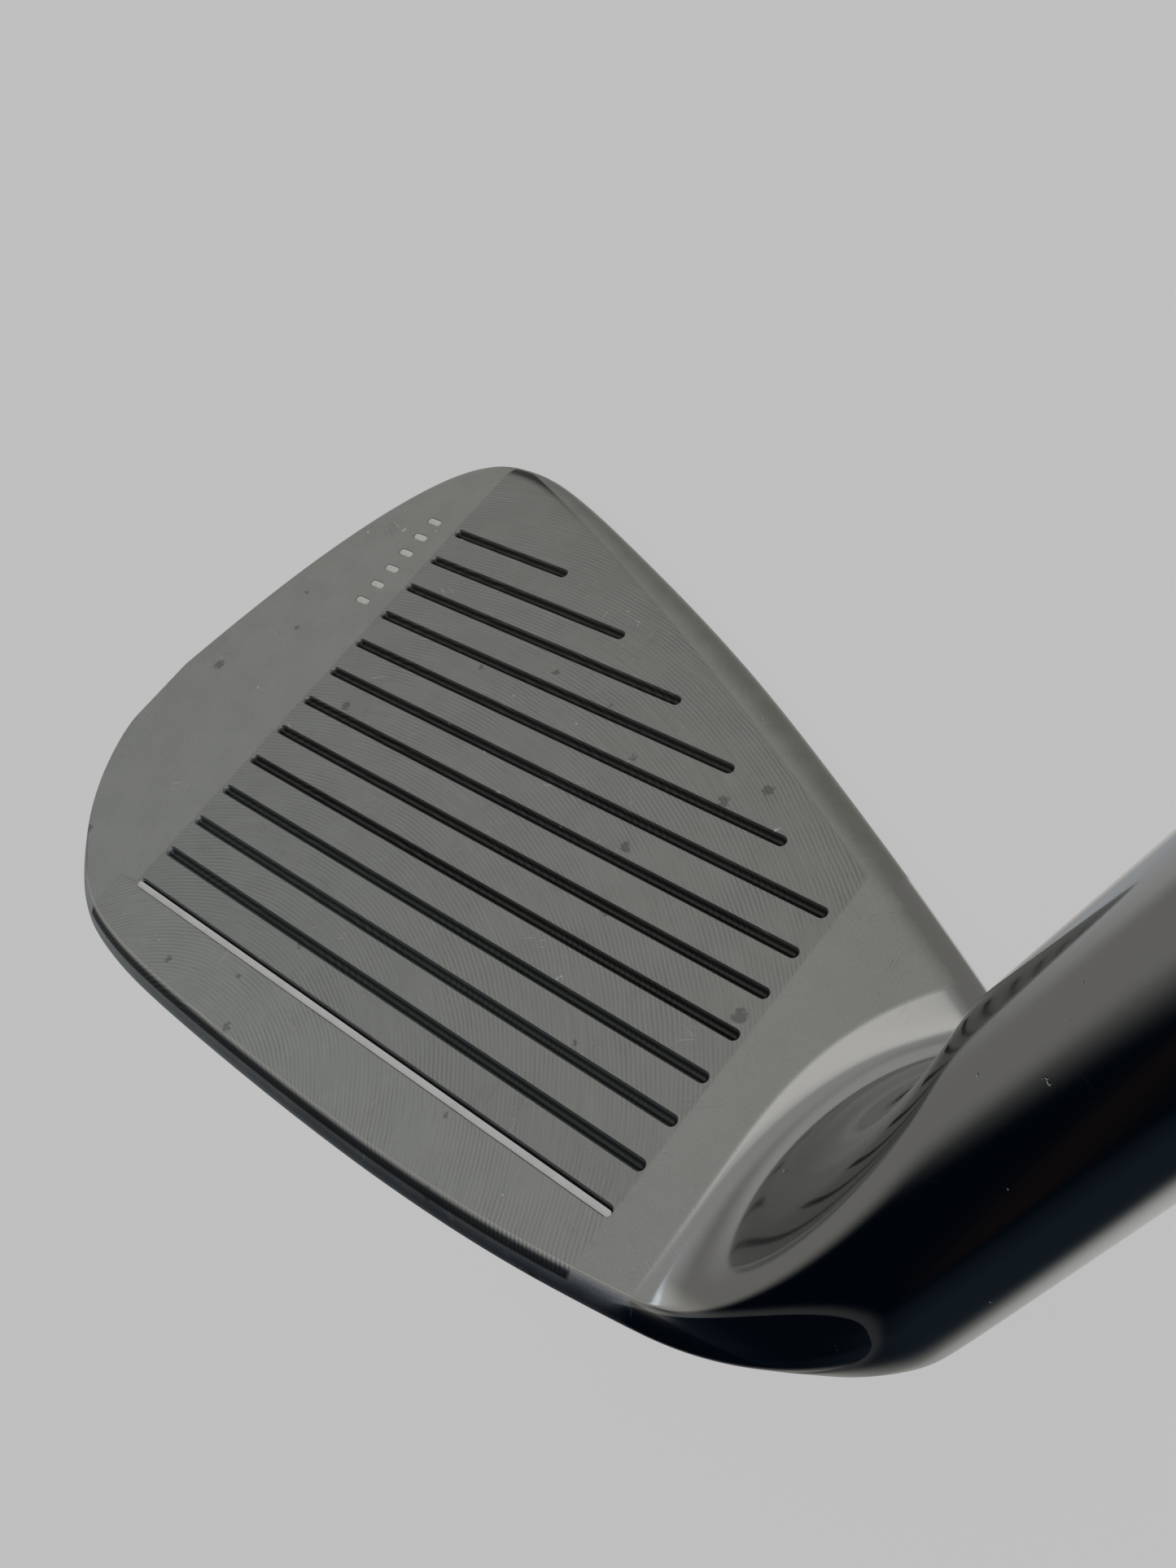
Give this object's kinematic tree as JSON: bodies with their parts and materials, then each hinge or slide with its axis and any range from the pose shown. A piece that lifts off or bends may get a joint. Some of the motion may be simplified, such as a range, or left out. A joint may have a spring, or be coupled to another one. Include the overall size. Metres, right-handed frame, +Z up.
{
  "type": "iron golf club",
  "caption": "Right-handed forged iron golf club with a lofted, grooved face, a stepped steel shaft, a ferrule and a rubber grip, swung by hand to strike a ball.",
  "frame": {"origin": "on the ground, under the middle of the club's box as it lies on the back of its head and the rim of its butt, face up", "axes": "+X along the shaft from the head to the grip, +Z up; the toe points towards -Y and the sole towards -X and +Y"},
  "size_m": [0.9304, 0.0958, 0.0393],
  "materials": {
    "forged_steel": "satin blasted head with a milled face and a polished hosel",
    "paint": "pale enamel fill",
    "epoxy": "cured adhesive",
    "brass": "turned",
    "ferrule_plastic": "polished black",
    "shaft_steel": "plated, stepped",
    "band_film": "plain printed film",
    "tape": "double-sided tape",
    "grip_rubber": "moulded, matt"
  },
  "bodies": {
    "root": {"club_head": "forged_steel", "bottom_line_fill": "paint", "toe_mark_fill_1": "paint", "toe_mark_fill_2": "paint", "toe_mark_fill_3": "paint", "toe_mark_fill_4": "paint", "toe_mark_fill_5": "paint", "toe_mark_fill_6": "paint", "hosel_bond": "epoxy", "tip_weight": "brass", "ferrule": "ferrule_plastic", "shaft": "shaft_steel", "shaft_band": "band_film", "grip_tape": "tape", "grip": "grip_rubber", "grip_cap": "grip_rubber"}
  },
  "joints": []
}
